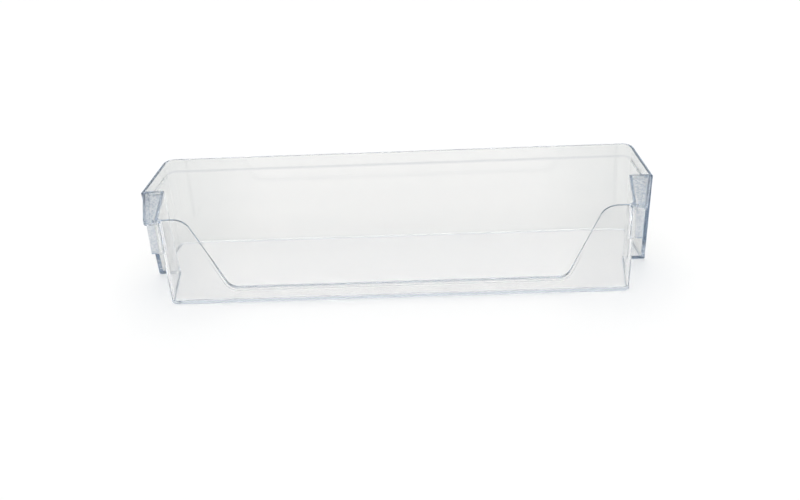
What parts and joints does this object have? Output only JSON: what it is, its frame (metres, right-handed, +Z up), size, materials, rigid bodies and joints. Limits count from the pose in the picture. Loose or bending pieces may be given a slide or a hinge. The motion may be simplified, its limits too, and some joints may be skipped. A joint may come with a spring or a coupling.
{
  "type": "fridge door shelf",
  "caption": "Clear moulded fridge door shelf: a long tray with a tapered front, a scooped rear wall and an end pocket behind each shoulder that drops over a lug of the door liner.",
  "frame": {"origin": "middle of the shelf's length and depth, on the underside of its floor", "axes": "+X along the shelf, +Y from the door towards the front panel that faces the kitchen, +Z up"},
  "size_m": [0.482, 0.118, 0.095],
  "materials": {
    "clear_plastic": "clear, polished moulding"
  },
  "bodies": {
    "root": {"door_shelf": "clear_plastic"}
  },
  "joints": []
}
